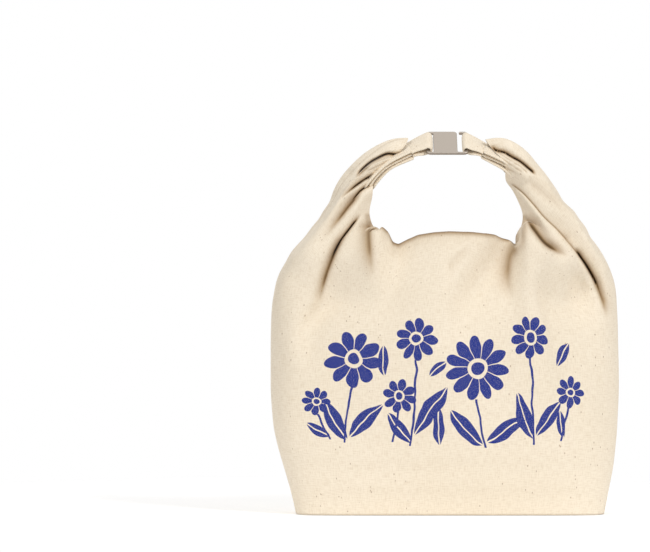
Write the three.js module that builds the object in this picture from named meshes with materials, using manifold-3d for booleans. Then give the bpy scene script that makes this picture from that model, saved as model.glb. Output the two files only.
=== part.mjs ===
// A canvas lunch bag with a rolled top. The mouth is hemmed with a band and rolled over twice,
// and the two ends of the roll are bent up and hooked together with a stamped metal clasp, so
// that the closed bag carries its own handle. Millimetres, +Z up, the front faces -Y, and the
// origin is the middle of the flat base.
import * as THREE from "three";
import { mergeVertices } from "three/addons/utils/BufferGeometryUtils.js";
import Module from "manifold-3d";

const wasm = await Module();
wasm.setup();

// Clearance between cloth pieces that touch.
const gap = 0.3;

// The filled bag: its flat boxed base, its widest level and the level of its shoulders.
const baseWidth = 223;
const baseDepth = 66;
const bellyWidth = 246;
const bellyDepth = 98;
const bellyHeight = 105;
const shoulderTaper = 24;
const shoulderDepth = 72;
const shoulderHeight = 183;
const canvas = 1.2;
const seamAllowance = 8;
const bellyRoundness = 2.4;
const baseSquareness = 4;
const baseCornerFade = 25;

// Below the arms the cloth is gathered in towards the roll: how thick the bag is left there, how
// far below the shoulders this starts, and how far from the middle it starts and is complete.
const gatheredDepth = 22;
const gatherDrop = 55;
const gatherStart = 10;
const gatherEnd = 50;

// Between the arms each panel arches over and dips to the roll. Its ridge falls to both sides.
const crownRise = 17;
const crownFall = 7;
const rollSag = 15;
const rollEndLift = 3;

// The band round the mouth, and the roll that it makes: two plies of canvas a turn.
const bandWidth = 21;
const bandPlies = 2.4;
const turnThickness = 2.2;
const turnGap = 0.4;

// The handle: the clear opening, and how far the clasp lies over the start of the arms.
const openingWidth = 114;
const shoulderRise = 29;
const handleRise = 52;
const armEndAngle = 63;
const armTiltLow = 12;
const armTiltHigh = 22;
const claspTilt = 35;
const armThicknessLow = 21;
const armThicknessHigh = 5;
const armDepthLow = 30;
const armDepthHigh = 23;

// The clasp, stamped from one sheet: a bar for the sewn loop, a plate, and an open hook.
const claspThickness = 1.8;
const barWidth = 2;
const barSlotWidth = 3.2;
const plateWidth = 17;
const hookSlotWidth = 5.7;
const hookWidth = 2;
const hookTip = 4.2;
const railWidth = 1.8;
const loopPlay = 1.7;
const claspCorner = 3.2;
const hookCorner = 2.6;
const slotCorner = 1.4;
const stampedEdge = 0.25;
const barClearance = 0.3;

const canvasCream = new THREE.MeshStandardMaterial({ color: "#f0e3cc", roughness: 0.95, metalness: 0 });
const bandCream = new THREE.MeshStandardMaterial({ color: "#ece0c4", roughness: 0.95, metalness: 0 });
const satinSteel = new THREE.MeshStandardMaterial({ color: "#bfb8ae", roughness: 0.4, metalness: 0.9 });

// Sizes that follow from the ones above.
const shoulderWidth = bellyWidth - shoulderTaper;
const springHeight = shoulderHeight + shoulderRise;
const claspLevel = springHeight + handleRise;
const rollThickness = 3 * turnThickness + 2 * turnGap;
const slotLength = bandWidth + 2 * loopPlay;
const claspHeight = slotLength + 2 * railWidth;
const radians = THREE.MathUtils.degToRad;
const lerp = THREE.MathUtils.lerp;
const smoothstep = THREE.MathUtils.smoothstep;
const point = (x, y, z) => new THREE.Vector3(x, y, z);

// The roll leans in the arms, so its line stands off the opening, and the crowns of the panels
// end clear of the gathered cloth beside them.
const lean = radians(armTiltLow);
const armReach = openingWidth / 2 + (rollThickness * Math.cos(lean) + bandWidth * Math.sin(lean)) / 2;
const bundleInner = armReach - (rollThickness * Math.cos(lean) + armDepthLow * Math.sin(lean)) / 2;
const crownHalf = bundleInner - 2 * gap;

// The first and last values of an even row of count numbers, and all between.
function evenly(first, last, count) {
  return Array.from({ length: count }, (_, i) => lerp(first, last, i / (count - 1)));
}

// A closed mesh as a solid that can be joined and cut, turned to face out.
function solidFrom(positions, triangles) {
  const mesh = () =>
    new wasm.Mesh({
      numProp: 3,
      vertProperties: new Float32Array(positions),
      triVerts: new Uint32Array(triangles),
    });
  const made = new wasm.Manifold(mesh());
  if (made.volume() > 0) return made;
  for (let i = 0; i < triangles.length; i += 3)
    [triangles[i + 1], triangles[i + 2]] = [triangles[i + 2], triangles[i + 1]];
  return new wasm.Manifold(mesh());
}

// A loft through sections. Each section is one outline given as two sides, left and right,
// that run from the same end to the same end, so that its end faces are strips between them.
function loft(sections) {
  const half = sections[0].left.length;
  const size = 2 * half;
  const positions = [];
  const triangles = [];
  for (const { left, right } of sections)
    for (const p of [...left, ...right.toReversed()]) positions.push(p.x, p.y, p.z);
  const quad = (a, b, c, d) => triangles.push(a, b, c, a, c, d);
  for (let s = 0; s + 1 < sections.length; s++)
    for (let i = 0; i < size; i++) {
      const next = (i + 1) % size;
      quad(s * size + i, s * size + next, (s + 1) * size + next, (s + 1) * size + i);
    }
  const last = (sections.length - 1) * size;
  for (let i = 0; i + 1 < half; i++) {
    const across = size - 1 - i;
    quad(i, across, across - 1, i + 1);
    quad(last + i, last + i + 1, last + across - 1, last + across);
  }
  return solidFrom(positions, triangles);
}

function solidOf(geometry) {
  geometry.deleteAttribute("normal");
  geometry.deleteAttribute("uv");
  const merged = mergeVertices(geometry, 1e-4);
  return solidFrom([...merged.attributes.position.array], [...merged.index.array]);
}

function meshOf(name, solid, material) {
  const { vertProperties, triVerts } = solid.getMesh();
  const geometry = new THREE.BufferGeometry();
  geometry.setAttribute("position", new THREE.BufferAttribute(vertProperties, 3));
  geometry.setIndex(new THREE.BufferAttribute(triVerts, 1));
  geometry.computeVertexNormals();
  const mesh = new THREE.Mesh(geometry, material);
  mesh.name = name;
  return mesh;
}

// The level sections of the filled bag: half its width and depth at a height, and how square
// its corners are. It is a boxed rectangle at the base and nearly an ellipse at the belly.
function levelSize(z) {
  const low = z < bellyHeight;
  const share = low
    ? Math.sin((z / bellyHeight) * (Math.PI / 2))
    : Math.cos(((z - bellyHeight) / (shoulderHeight - bellyHeight)) * (Math.PI / 2));
  const [width, depth] = low ? [baseWidth, baseDepth] : [shoulderWidth, shoulderDepth];
  return {
    halfWidth: lerp(width, bellyWidth, share) / 2,
    halfDepth: lerp(depth, bellyDepth, share) / 2,
    power: bellyRoundness + baseSquareness * Math.exp(-z / baseCornerFade),
  };
}

// How far the full bag reaches from its middle plane at a place across it and up it.
function fullDepthAt(x, z) {
  const { halfWidth, halfDepth, power } = levelSize(z);
  const share = Math.min(Math.abs(x) / halfWidth, 1);
  return halfDepth * (1 - share ** power) ** (1 / power);
}

// How far the cloth is gathered in there. The side seams are stiff and stay as they are.
function gatherAt(x, z) {
  const fromSeam = levelSize(z).halfWidth - Math.abs(x);
  const across = smoothstep(Math.abs(x), gatherStart, gatherEnd);
  const up = smoothstep(z, shoulderHeight - gatherDrop, shoulderHeight);
  const share = across * up * smoothstep(fromSeam, 0, 3 * seamAllowance);
  return (1 - gatheredDepth / shoulderDepth) * share * fullDepthAt(x, z);
}

const depthAt = (x, z) => fullDepthAt(x, z) - gatherAt(x, z);

// Points of the front half of a level section, drawn in by inset and cut at a distance from
// the middle plane, from the left side seam round to the right one.
function frontCurve(z, inset, cut) {
  const { halfWidth, halfDepth, power } = levelSize(z);
  return evenly(-90, 90, 37).map((degrees) => {
    const angle = radians(degrees);
    const x = Math.sign(angle) * Math.abs(Math.sin(angle)) ** (2 / power) * (halfWidth - inset);
    const y = Math.abs(Math.cos(angle)) ** (2 / power) * (halfDepth - inset) - gatherAt(x, z);
    return point(x, -Math.max(y, cut), z);
  });
}

// Front and back panels. Each wall runs from seam to seam, where its edge turns in as the
// seam allowance, and between the arms it arches over and comes down along the roll.
const rollFace = rollThickness / 2 + gap;
const rollLevel = (x) =>
  shoulderHeight - rollSag + (rollSag + rollEndLift) * (x / crownHalf) ** 2;

function panelWall() {
  const foot = canvas + gap;
  const rows = evenly(Math.sqrt(foot), Math.sqrt(shoulderHeight - crownRise), 11).map((r) => r * r);
  const sections = [0, ...rows, shoulderHeight - crownRise / 2, shoulderHeight].map((z) => {
    const allowance = z > foot + gap ? seamAllowance : foot;
    const hem = (side, y) => point(side * (levelSize(z).halfWidth - allowance), -y, z);
    const outer = gap / 2;
    const inner = outer + canvas;
    return {
      left: [hem(-1, outer), ...frontCurve(z, 0, outer), hem(1, outer)],
      right: [hem(-1, inner), ...frontCurve(z, canvas, inner), hem(1, inner)],
    };
  });
  return loft(sections);
}

function panelCrown() {
  const lap = 3;
  const inset = canvas / 5;
  const between = frontCurve(shoulderHeight, 0, 0)
    .map((p) => p.x)
    .filter((x) => Math.abs(x) < crownHalf - lap);
  const sections = [-crownHalf, ...between, crownHalf].map((x) => {
    const rise = crownRise - crownFall * (x / crownHalf) ** 2;
    const profile = (skin, cover) => {
      const outside = depthAt(x, shoulderHeight) - skin;
      const inside = rollFace + skin;
      const middle = (outside + inside) / 2;
      const foot = point(x, -(depthAt(x, shoulderHeight - lap) - cover), shoulderHeight - lap);
      const arch = evenly(0, 180, 9).map((degrees) => {
        const angle = radians(degrees);
        const y = middle + ((outside - inside) / 2) * Math.cos(angle);
        return point(x, -y, shoulderHeight + (rise - skin) * Math.sin(angle));
      });
      return [foot, ...arch, point(x, -inside, rollLevel(x) - bandWidth / 2)];
    };
    return { left: profile(inset, inset), right: profile(canvas + inset, canvas - inset) };
  });
  return loft(sections);
}

const frontPanel = panelWall().add(panelCrown());
const backPanel = frontPanel.mirror([0, 1, 0]);

// The base is a flat sheet between the feet of the two panels.
function basePanel() {
  const edge = canvas + gap;
  const level = (z) => {
    const reach = levelSize(z).halfWidth - edge - gap;
    const curve = frontCurve(z, edge, 0).filter((p) => Math.abs(p.x) < reach);
    return {
      left: curve.map((p) => point(p.x, p.y, z)),
      right: curve.map((p) => point(p.x, -p.y, z)),
    };
  };
  return loft([level(0), level(canvas)]);
}

// The roll's section: a flattened spiral of three runs, as [across, up] pairs. The strip comes
// up the first run, turns over the top, comes down the last, and turns up into the middle.
function spiralSide(offset) {
  const run = turnThickness + turnGap;
  const top = bandWidth / 2 - run - turnThickness / 2;
  const bottom = -bandWidth / 2 + run / 2 + turnThickness / 2;
  const turn = (across, up, radius, from, to, steps) =>
    evenly(from, to, steps).map((degrees) => [
      across + radius * Math.cos(radians(degrees)),
      up + radius * Math.sin(radians(degrees)),
    ]);
  return [
    [-run - offset, -bandWidth / 2],
    ...turn(0, top, run + offset, 180, 0, 7),
    ...turn(run / 2, bottom, run / 2 + offset, 0, -180, 5),
    [-offset, top - turnGap],
  ];
}

const spiralOuter = spiralSide(turnThickness / 2);
const spiralInner = spiralSide(-turnThickness / 2);

function rolledTop() {
  const sections = evenly(-crownHalf, crownHalf, 11).map((x) => {
    const place = ([across, up]) => point(x, across, rollLevel(x) + up);
    return { left: spiralOuter.map(place), right: spiralInner.map(place) };
  });
  return loft(sections);
}

// The line of the left arm: a quarter of an ellipse from the start of the arm to the clasp.
// A frame there has its run along the line, its normal out of the handle, leaning to the
// front, and its width across the band.
function frameAt(centre, run, tilt) {
  const out = point(-run.z, 0, run.x);
  const normal = out.multiplyScalar(Math.cos(radians(tilt)));
  normal.y = -Math.sin(radians(tilt));
  return { centre, run, normal, width: normal.clone().cross(run).normalize() };
}

function armFrame(degrees) {
  const angle = radians(degrees);
  const centre = point(
    -armReach * Math.cos(angle),
    0,
    springHeight + handleRise * Math.sin(angle),
  );
  const run = point(armReach * Math.sin(angle), 0, handleRise * Math.cos(angle)).normalize();
  return frameAt(centre, run, lerp(armTiltLow, armTiltHigh, degrees / armEndAngle));
}

const inFrame = (frame, out, across) =>
  frame.centre
    .clone()
    .addScaledVector(frame.normal, out)
    .addScaledVector(frame.width, across);

// The rolled band inside each arm, cut off where its loop comes out.
function rolledEnd() {
  const sections = evenly(0, armEndAngle, 11).map((degrees) => {
    const frame = armFrame(degrees);
    const place = ([out, across]) => inFrame(frame, -out, across);
    return { left: spiralOuter.map(place), right: spiralInner.map(place) };
  });
  return loft(sections);
}

// A gathered bundle of cloth has one flat side against the roll and is round outside. Its
// outline runs from the flat corners to the nose, in front and behind.
const bundleAngles = evenly(0, 84, 8);

function bundleSide(foot, thickness, halfDepth) {
  return bundleAngles.map((degrees) => [
    foot + thickness * Math.sin(radians(degrees)) ** 0.8,
    halfDepth * Math.cos(radians(degrees)) ** 0.8,
  ]);
}

function armCloth() {
  const sections = evenly(0, armEndAngle, 10).map((degrees) => {
    const frame = armFrame(degrees);
    const share = degrees / armEndAngle;
    const side = bundleSide(
      rollThickness / 2 + gap,
      lerp(armThicknessLow, armThicknessHigh, share ** 1.5),
      lerp(armDepthLow, armDepthHigh, share) / 2,
    );
    return {
      left: side.map(([out, across]) => inFrame(frame, out, -across)),
      right: side.map(([out, across]) => inFrame(frame, out, across)),
    };
  });
  return loft(sections);
}

// The shoulder, where the corner of the bag is gathered into the arm. It starts as the corner
// of the level section and ends as the arm's own outline, roll included.
function shoulder() {
  const start = shoulderHeight + gap;
  const inner = bundleInner;
  const top = armFrame(0);
  const foot = -rollThickness / 2;
  const arm = bundleSide(foot, rollThickness + gap + armThicknessLow, armDepthLow / 2);
  const reach = levelSize(shoulderHeight).halfWidth - inner;
  const corner = bundleAngles.map((degrees) => {
    const x = inner + reach * Math.sin(radians(degrees)) ** 0.8;
    return point(-x, -depthAt(x, shoulderHeight), start);
  });
  const sections = evenly(0, 1, 6).map((share) => {
    const outward = share ** 1.4;
    const side = (sign) =>
      corner.map((p, i) => {
        const end = inFrame(top, arm[i][0], sign * arm[i][1]);
        return point(
          lerp(p.x, end.x, outward),
          lerp(-sign * p.y, end.y, share),
          lerp(p.z, end.z - gap, share),
        );
      });
    return { left: side(-1), right: side(1) };
  });
  return loft(sections);
}

// The clasp lies across the top of the handle with its plate leaning back. Its own frame has
// x along the handle, y across the band, and z out of its face.
const barCentre = -(plateWidth + barSlotWidth + hookSlotWidth + barWidth + hookWidth) / 2 + barWidth / 2;
const hookCentre = -barCentre + (barWidth - hookWidth) / 2;
const claspTurn = radians(claspTilt);

function claspOutline() {
  const left = barCentre - barWidth / 2;
  const plateEnd = left + barWidth + barSlotWidth + plateWidth;
  const hookInside = hookCentre - hookWidth / 2;
  const right = hookCentre + hookWidth / 2;
  const tip = hookInside - hookTip;
  const top = claspHeight / 2;
  const floor = -top + railWidth;
  const innerHook = hookCorner - hookWidth / 2;
  const quarter = Math.PI / 2;
  const outline = new THREE.Shape();
  outline.moveTo(left + claspCorner, -top);
  outline.absarc(right - claspCorner, -top + claspCorner, claspCorner, -quarter, 0);
  outline.absarc(right - hookCorner, top - hookCorner, hookCorner, 0, quarter);
  outline.absarc(tip + hookWidth / 2, top - hookWidth / 2, hookWidth / 2, quarter, 3 * quarter);
  outline.absarc(hookInside - innerHook, top - hookWidth - innerHook, innerHook, quarter, 0, true);
  outline.absarc(hookInside - slotCorner, floor + slotCorner, slotCorner, 0, -quarter, true);
  outline.absarc(plateEnd + slotCorner, floor + slotCorner, slotCorner, -quarter, -2 * quarter, true);
  outline.absarc(plateEnd - hookCorner, top - hookCorner, hookCorner, 0, quarter);
  outline.absarc(left + claspCorner, top - claspCorner, claspCorner, quarter, 2 * quarter);
  outline.absarc(left + claspCorner, -top + claspCorner, claspCorner, 2 * quarter, 3 * quarter);

  const slot = new THREE.Path();
  const slotLeft = left + barWidth + slotCorner;
  const slotRight = left + barWidth + barSlotWidth - slotCorner;
  const slotTop = slotLength / 2 - slotCorner;
  slot.absarc(slotRight, slotTop, slotCorner, 0, quarter);
  slot.absarc(slotLeft, slotTop, slotCorner, quarter, 2 * quarter);
  slot.absarc(slotLeft, -slotTop, slotCorner, 2 * quarter, 3 * quarter);
  slot.absarc(slotRight, -slotTop, slotCorner, -quarter, 0);
  slot.closePath();
  outline.holes.push(slot);
  return outline;
}

function stampedClasp() {
  const geometry = new THREE.ExtrudeGeometry(claspOutline(), {
    depth: claspThickness - 2 * stampedEdge,
    bevelThickness: stampedEdge,
    bevelSize: stampedEdge,
    bevelOffset: -stampedEdge,
    bevelSegments: 1,
    curveSegments: 6,
  });
  geometry.translate(0, 0, -claspThickness / 2 + stampedEdge);
  return solidOf(geometry);
}

// A loop is the end of the band, doubled back round its bar and sewn: two plies that come out
// of the roll and a round eye. It is made for the left bar, and the right one is its mirror.
function bandLoop(centre) {
  const eyeInner = Math.hypot(barWidth, claspThickness) / 2 + barClearance;
  const eyeOuter = eyeInner + bandPlies / 2;
  const eye = new THREE.Shape();
  eye.absarc(0, 0, eyeOuter, 0, 2 * Math.PI);
  eye.holes.push(new THREE.Path().absarc(0, 0, eyeInner, 0, 2 * Math.PI));
  const geometry = new THREE.ExtrudeGeometry(eye, {
    depth: bandWidth,
    bevelEnabled: false,
    curveSegments: 10,
  });
  geometry.translate(0, 0, -bandWidth / 2);
  geometry.rotateX(-Math.PI / 2);
  geometry.rotateX(claspTurn);
  geometry.translate(centre, 0, claspLevel);

  const root = armFrame(armEndAngle);
  root.centre.addScaledVector(root.run, gap);
  const end = point(centre - (eyeInner + eyeOuter) / 2, 0, claspLevel);
  const route = new THREE.CubicBezierCurve3(
    root.centre,
    root.centre.clone().addScaledVector(root.run, bandWidth / 5),
    end.clone().setX(end.x - bandWidth / 5),
    end,
  );
  const sections = evenly(0, 1, 7).map((share) => {
    const frame = frameAt(
      route.getPoint(share),
      route.getTangent(share),
      lerp(armTiltHigh, claspTilt, share),
    );
    const side = (out) => [-1, 1].map((sign) => inFrame(frame, out, (sign * bandWidth) / 2));
    return { left: side(bandPlies / 2), right: side(-bandPlies / 2) };
  });
  return solidOf(geometry).add(loft(sections));
}

// The bag stands on its base; the handle is one group over it.
const bag = new THREE.Group();
bag.add(
  meshOf("front_panel", frontPanel, canvasCream),
  meshOf("back_panel", backPanel, canvasCream),
  meshOf("base_panel", basePanel(), canvasCream),
  meshOf("rolled_top", rolledTop(), bandCream),
  meshOf("left_shoulder", shoulder(), canvasCream),
);

const handle = new THREE.Group();
handle.add(
  meshOf("left_arm", armCloth(), canvasCream),
  meshOf("left_rolled_end", rolledEnd(), bandCream),
  meshOf("clasp_loop", bandLoop(barCentre), bandCream),
);

// The right arm and its loop are the left ones turned over.
const rightSide = new THREE.Group();
rightSide.scale.x = -1;
rightSide.add(
  meshOf("right_shoulder", shoulder(), canvasCream),
  meshOf("right_arm", armCloth(), canvasCream),
  meshOf("right_rolled_end", rolledEnd(), bandCream),
  meshOf("hook_loop", bandLoop(-hookCentre), bandCream),
);

const clasp = meshOf("clasp", stampedClasp(), satinSteel);
clasp.rotation.x = claspTurn;
clasp.position.z = claspLevel;
handle.add(clasp);

const lunchBag = new THREE.Group();
lunchBag.add(bag, handle, rightSide);

export default lunchBag;
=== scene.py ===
import math

import bpy
import numpy as np
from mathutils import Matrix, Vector


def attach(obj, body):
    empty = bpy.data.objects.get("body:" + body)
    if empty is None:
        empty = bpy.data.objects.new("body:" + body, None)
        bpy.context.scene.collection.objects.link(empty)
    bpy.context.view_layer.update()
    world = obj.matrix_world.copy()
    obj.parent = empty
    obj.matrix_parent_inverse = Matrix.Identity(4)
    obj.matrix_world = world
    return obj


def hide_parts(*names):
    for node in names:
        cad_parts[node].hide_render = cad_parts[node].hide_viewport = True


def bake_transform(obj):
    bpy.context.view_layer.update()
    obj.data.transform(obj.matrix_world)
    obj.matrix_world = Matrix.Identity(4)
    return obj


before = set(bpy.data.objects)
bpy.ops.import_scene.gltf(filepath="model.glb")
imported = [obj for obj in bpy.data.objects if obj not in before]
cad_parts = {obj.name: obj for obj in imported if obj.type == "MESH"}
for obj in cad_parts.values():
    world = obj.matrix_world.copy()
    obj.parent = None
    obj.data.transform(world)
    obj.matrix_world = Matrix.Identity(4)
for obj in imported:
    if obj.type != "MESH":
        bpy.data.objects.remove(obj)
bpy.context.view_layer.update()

MM = 0.001

# Studio: a white floor and background, a key light high on the right, a weaker one on
# the left, and soft ones from the far right, above and behind, so that the folds keep
# their shade.
scene = bpy.context.scene
scene.view_settings.view_transform = "Standard"
PHOTO_WIDE = 650                       # pixels
PIXEL = 0.714                          # millimetres of the bag in one pixel of the photograph
CENTRE_X, CENTRE_Z = -87.1, 169.2      # what the middle of the photograph looks at
DISTANCE = 3.0                         # metres from the camera to the bag's middle
SENSOR = 36

camera_data = bpy.data.cameras.new("camera")
camera = bpy.data.objects.new("camera", camera_data)
scene.collection.objects.link(camera)
camera_data.sensor_width = SENSOR
camera_data.lens = SENSOR * DISTANCE / (PHOTO_WIDE * PIXEL * MM)
camera.location = (CENTRE_X * MM, -DISTANCE, CENTRE_Z * MM)
camera.rotation_euler = (math.pi / 2, 0, 0)
scene.camera = camera


# Nodes are written as arithmetic on values, here and for every finish below.
class Graph:
    """The nodes of the world or of a material."""

    def __init__(self, owner):
        owner.use_nodes = True
        self.owner = owner
        self.nodes = owner.node_tree.nodes
        self.links = owner.node_tree.links

    def feed(self, socket, value):
        if isinstance(value, Value):
            self.links.new(value.socket, socket)
        else:
            socket.default_value = value

    def node(self, kind, result=0, settings=None, **inputs):
        """A node of any kind. Its sockets are named, or numbered as i0, i1 and so on."""
        made = self.nodes.new(kind)
        for key, value in (settings or {}).items():
            setattr(made, key, value)
        for key, value in inputs.items():
            number = key[1:]
            socket = int(number) if number.isdigit() else key.replace("_", " ")
            self.feed(made.inputs[socket], value)
        return Value(self, made.outputs[result])

    def set(self, name, **inputs):
        """Values for the sockets of the node that the graph came with."""
        for key, value in inputs.items():
            self.feed(self.nodes[name].inputs[key.replace("_", " ")], value)

    def mix(self, share, a, b):
        return self.node("ShaderNodeMix", 2, {"data_type": "RGBA"}, i0=share, i6=a, i7=b)

    def stretched(self, vector, scale):
        return self.node("ShaderNodeVectorMath", 0, {"operation": "MULTIPLY"}, i0=vector, i1=scale)

    def fade(self, value, full, none):
        """One where the value is at the first number, falling softly to nought at the second."""
        return self.node("ShaderNodeMapRange", 0, {"interpolation_type": "SMOOTHSTEP"},
                         Value=value, From_Min=full, From_Max=none, To_Min=1.0, To_Max=0.0)


class Value:
    def __init__(self, graph, socket):
        self.graph = graph
        self.socket = socket

    def math(self, operation, *others, clamp=False):
        settings = {"operation": operation, "use_clamp": clamp}
        inputs = {"i" + str(i): value for i, value in enumerate((self,) + others)}
        return self.graph.node("ShaderNodeMath", 0, settings, **inputs)

    def __add__(self, other):
        return self.math("ADD", other)

    def __mul__(self, other):
        return self.math("MULTIPLY", other)

    def __sub__(self, other):
        return self.math("SUBTRACT", other)

    def __rsub__(self, other):
        return self * -1 + other

    def __truediv__(self, other):
        return self.math("DIVIDE", other)

    def __rtruediv__(self, other):
        return self.math("POWER", -1) * other

    def __abs__(self):
        return self.math("ABSOLUTE")

    def __lt__(self, other):
        return self.math("LESS_THAN", other)

    def __gt__(self, other):
        return self.math("GREATER_THAN", other)

    __radd__ = __add__
    __rmul__ = __mul__

    def sin(self):
        return self.math("SINE")

    def cos(self):
        return self.math("COSINE")

    def power(self, other):
        return self.math("POWER", other)

    def max(self, other):
        return self.math("MAXIMUM", other)

    def min(self, other):
        return self.math("MINIMUM", other)

    def clamped(self, gain):
        return self.math("MULTIPLY", gain, clamp=True)


# The world is white where it is seen and a little dimmer and warmer where it only lights.
world = bpy.data.worlds.new("studio")
scene.world = world
sky = Graph(world)
by_camera = sky.node("ShaderNodeLightPath", "Is Camera Ray")
by_gloss = sky.node("ShaderNodeLightPath", "Is Glossy Ray")
through_glass = sky.node("ShaderNodeLightPath", "Is Transmission Ray")
seen = sky.node("ShaderNodeBackground", Color=(1, 1, 1, 1), Strength=1.0)
fill = sky.node("ShaderNodeBackground", Color=(1.0, 0.985, 0.965, 1), Strength=0.42)
light = sky.node("ShaderNodeMixShader", i0=by_camera.max(by_gloss).max(through_glass),
                 i1=fill, i2=seen)
sky.set("World Output", Surface=light)


def softbox(name, place, aim, size, power):
    """A round soft light that looks at one height above the middle of the floor."""
    data = bpy.data.lights.new(name, "AREA")
    data.shape = "DISK"
    data.size = size
    data.energy = power
    lamp = bpy.data.objects.new(name, data)
    scene.collection.objects.link(lamp)
    lamp.location = place
    towards = Vector((0, 0, aim)) - Vector(place)
    lamp.rotation_euler = towards.to_track_quat("-Z", "Y").to_euler()


softbox("key", (1.05, -1.45, 1.35), aim=0.22, size=0.5, power=19.4)
softbox("left", (-1.35, -1.2, 1.0), aim=0.22, size=0.9, power=11.4)
softbox("right", (1.7, -0.3, 0.8), aim=0.24, size=0.8, power=2.7)
softbox("top", (0.1, 0.3, 1.8), aim=0.1, size=1.2, power=3)
softbox("painted_shade_behind", (-0.5, 1.6, 0.7), aim=0.15, size=0.9, power=7)


# The floor: white paper under the bag, fading out into the background.
def new_object(name, vertices, faces):
    mesh = bpy.data.meshes.new(name)
    corners = [tuple(map(int, face)) for face in faces]
    mesh.from_pydata(np.asarray(vertices, float).tolist(), [], corners)
    mesh.update()
    mesh.polygons.foreach_set("use_smooth", [True] * len(mesh.polygons))
    made = bpy.data.objects.new(name, mesh)
    scene.collection.objects.link(made)
    return made


FLOOR = 4.0
floor_corners = [(-FLOOR, -FLOOR, 0), (FLOOR, -FLOOR, 0), (FLOOR, FLOOR, 0), (-FLOOR, FLOOR, 0)]
floor = new_object("floor", floor_corners, [(0, 1, 2, 3)])
paper = Graph(bpy.data.materials.new("floor_white"))
place = paper.node("ShaderNodeTexCoord", "Object")
distance = paper.node("ShaderNodeVectorMath", "Value", {"operation": "LENGTH"}, i0=place)
edge = paper.fade(distance, 0.2, 0.6)
watched = paper.node("ShaderNodeLightPath", "Is Camera Ray")
paper.set("Principled BSDF", Base_Color=(0.9, 0.9, 0.9, 1), Roughness=0.9,
          Specular_IOR_Level=0.1, Alpha=edge, Emission_Color=watched * 0.56 + 0.44,
          Emission_Strength=0.25)
floor.data.materials.append(paper.owner)


# The canvas body: one sheet of unbleached canvas sewn into a sack with a boxed base,
# stuffed full, its sides gathered up into the two arms of the rolled top. All sizes are
# in millimetres.
BASE_WIDE, BASE_DEEP = 225.0, 67.0
BELLY_WIDE, BELLY_DEEP, BELLY_HEIGHT = 246.0, 98.0, 105.0
NECK_WIDE, NECK_DEEP, NECK_HEIGHT = 222.0, 72.0, 183.0
CLOTH = 278.0          # from the base's edge to where the cloth goes into the roll
KNEE = 150.0           # above this the cloth draws in
HALF = (BASE_WIDE + BASE_DEEP) / 2     # half the way round the sack
ACROSS, ROUND, ROWS = 32, 10, 42       # the cloth's columns on a panel and on a side, its rows
COLUMNS = 2 * (ACROSS + ROUND)
REACH, SPRING, RISE = 62.8, 212.0, 52.0    # the arch: half its span, its foot, its height
END_ANGLE = 66                         # where the roll's ends are on the arch, in degrees
ROLL_MIDDLE = 168.0                    # the roll's height in the middle of the opening
SAG_SPAN, SAG = 54.0, 19.0             # how far out the roll sags, and by how much
ARM_FOOT = (61.5, 199)                 # where the roll turns up into the arms
ROLL_WIDE = 21.0
ROLL_TURN = [(0, 0), (0.3, 10), (0.58, 78), (0.75, 76), (1, 66)]   # on its side, in degrees


def smooth(low, high, x):
    """0 at the low end and 1 at the high one, with a soft start and stop."""
    t = np.clip((np.asarray(x, float) - low) / (high - low), 0, 1)
    return t * t * (3 - 2 * t)


def at(x, table):
    """What a table of pairs says at x, in straight runs from pair to pair."""
    return np.interp(x, *np.array(table, float).T)


def through(points, steps=40):
    """A smooth line through the points."""
    p = np.array(points, float)
    p = np.vstack([2 * p[0] - p[1], p, 2 * p[-1] - p[-2]])
    runs = []
    for a, b, c, d in zip(p, p[1:], p[2:], p[3:]):
        t = np.linspace(0, 1, steps, endpoint=False)[:, None]
        runs.append(0.5 * (2 * b + (c - a) * t + (2 * a - 5 * b + 4 * c - d) * t ** 2
                           + (3 * b - a - 3 * c + d) * t ** 3))
    return np.vstack(runs + [p[-2][None]])


def along(path, share):
    """The places at the given shares of a line's length."""
    steps = np.concatenate([[0], np.cumsum(np.linalg.norm(np.diff(path, axis=0), axis=1))])
    where = np.asarray(share) * steps[-1]
    return np.stack([np.interp(where, steps, path[:, i]) for i in range(path.shape[1])], -1)


sag = [(x, ROLL_MIDDLE + SAG * (x / SAG_SPAN) ** 2) for x in (0, 20, 40, SAG_SPAN)]
arch = [(REACH * math.cos(math.radians(angle)), SPRING + RISE * math.sin(math.radians(angle)))
        for angle in (0, 12, 24, 36, 48, END_ANGLE)]
roll_path = through(sag + [ARM_FOOT] + arch)


def roll_frame(share, side):
    """The roll's centre, its width's way and its outer face's way, on one side of the bag."""
    x, z = along(roll_path, share)
    run = along(roll_path, min(share + 0.004, 1)) - along(roll_path, max(share - 0.004, 0))
    run /= np.linalg.norm(run)
    turn = math.radians(at(share, ROLL_TURN))
    away = np.array([run[1] * side, 0, -run[0]])
    deep = np.array([0, 1.0, 0])
    width = math.sin(turn) * deep + math.cos(turn) * away
    face = math.sin(turn) * away - math.cos(turn) * deep
    return np.array([x * side, 0, z]), width, face


def column_places():
    """How far round the sack each column of the cloth is, from the middle of its left side."""
    corner = [BASE_DEEP / ROUND] * (ROUND // 2)
    panel = [BASE_WIDE / ACROSS] * ACROSS
    steps = corner + panel + corner + corner + panel + corner
    return np.concatenate([[0], np.cumsum(steps)])[:-1]


def fuller(value, power):
    """A sine or cosine brought nearer to 1 or -1, so that a ring made of it is squarer."""
    return np.sign(value) * np.abs(value) ** power


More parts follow.
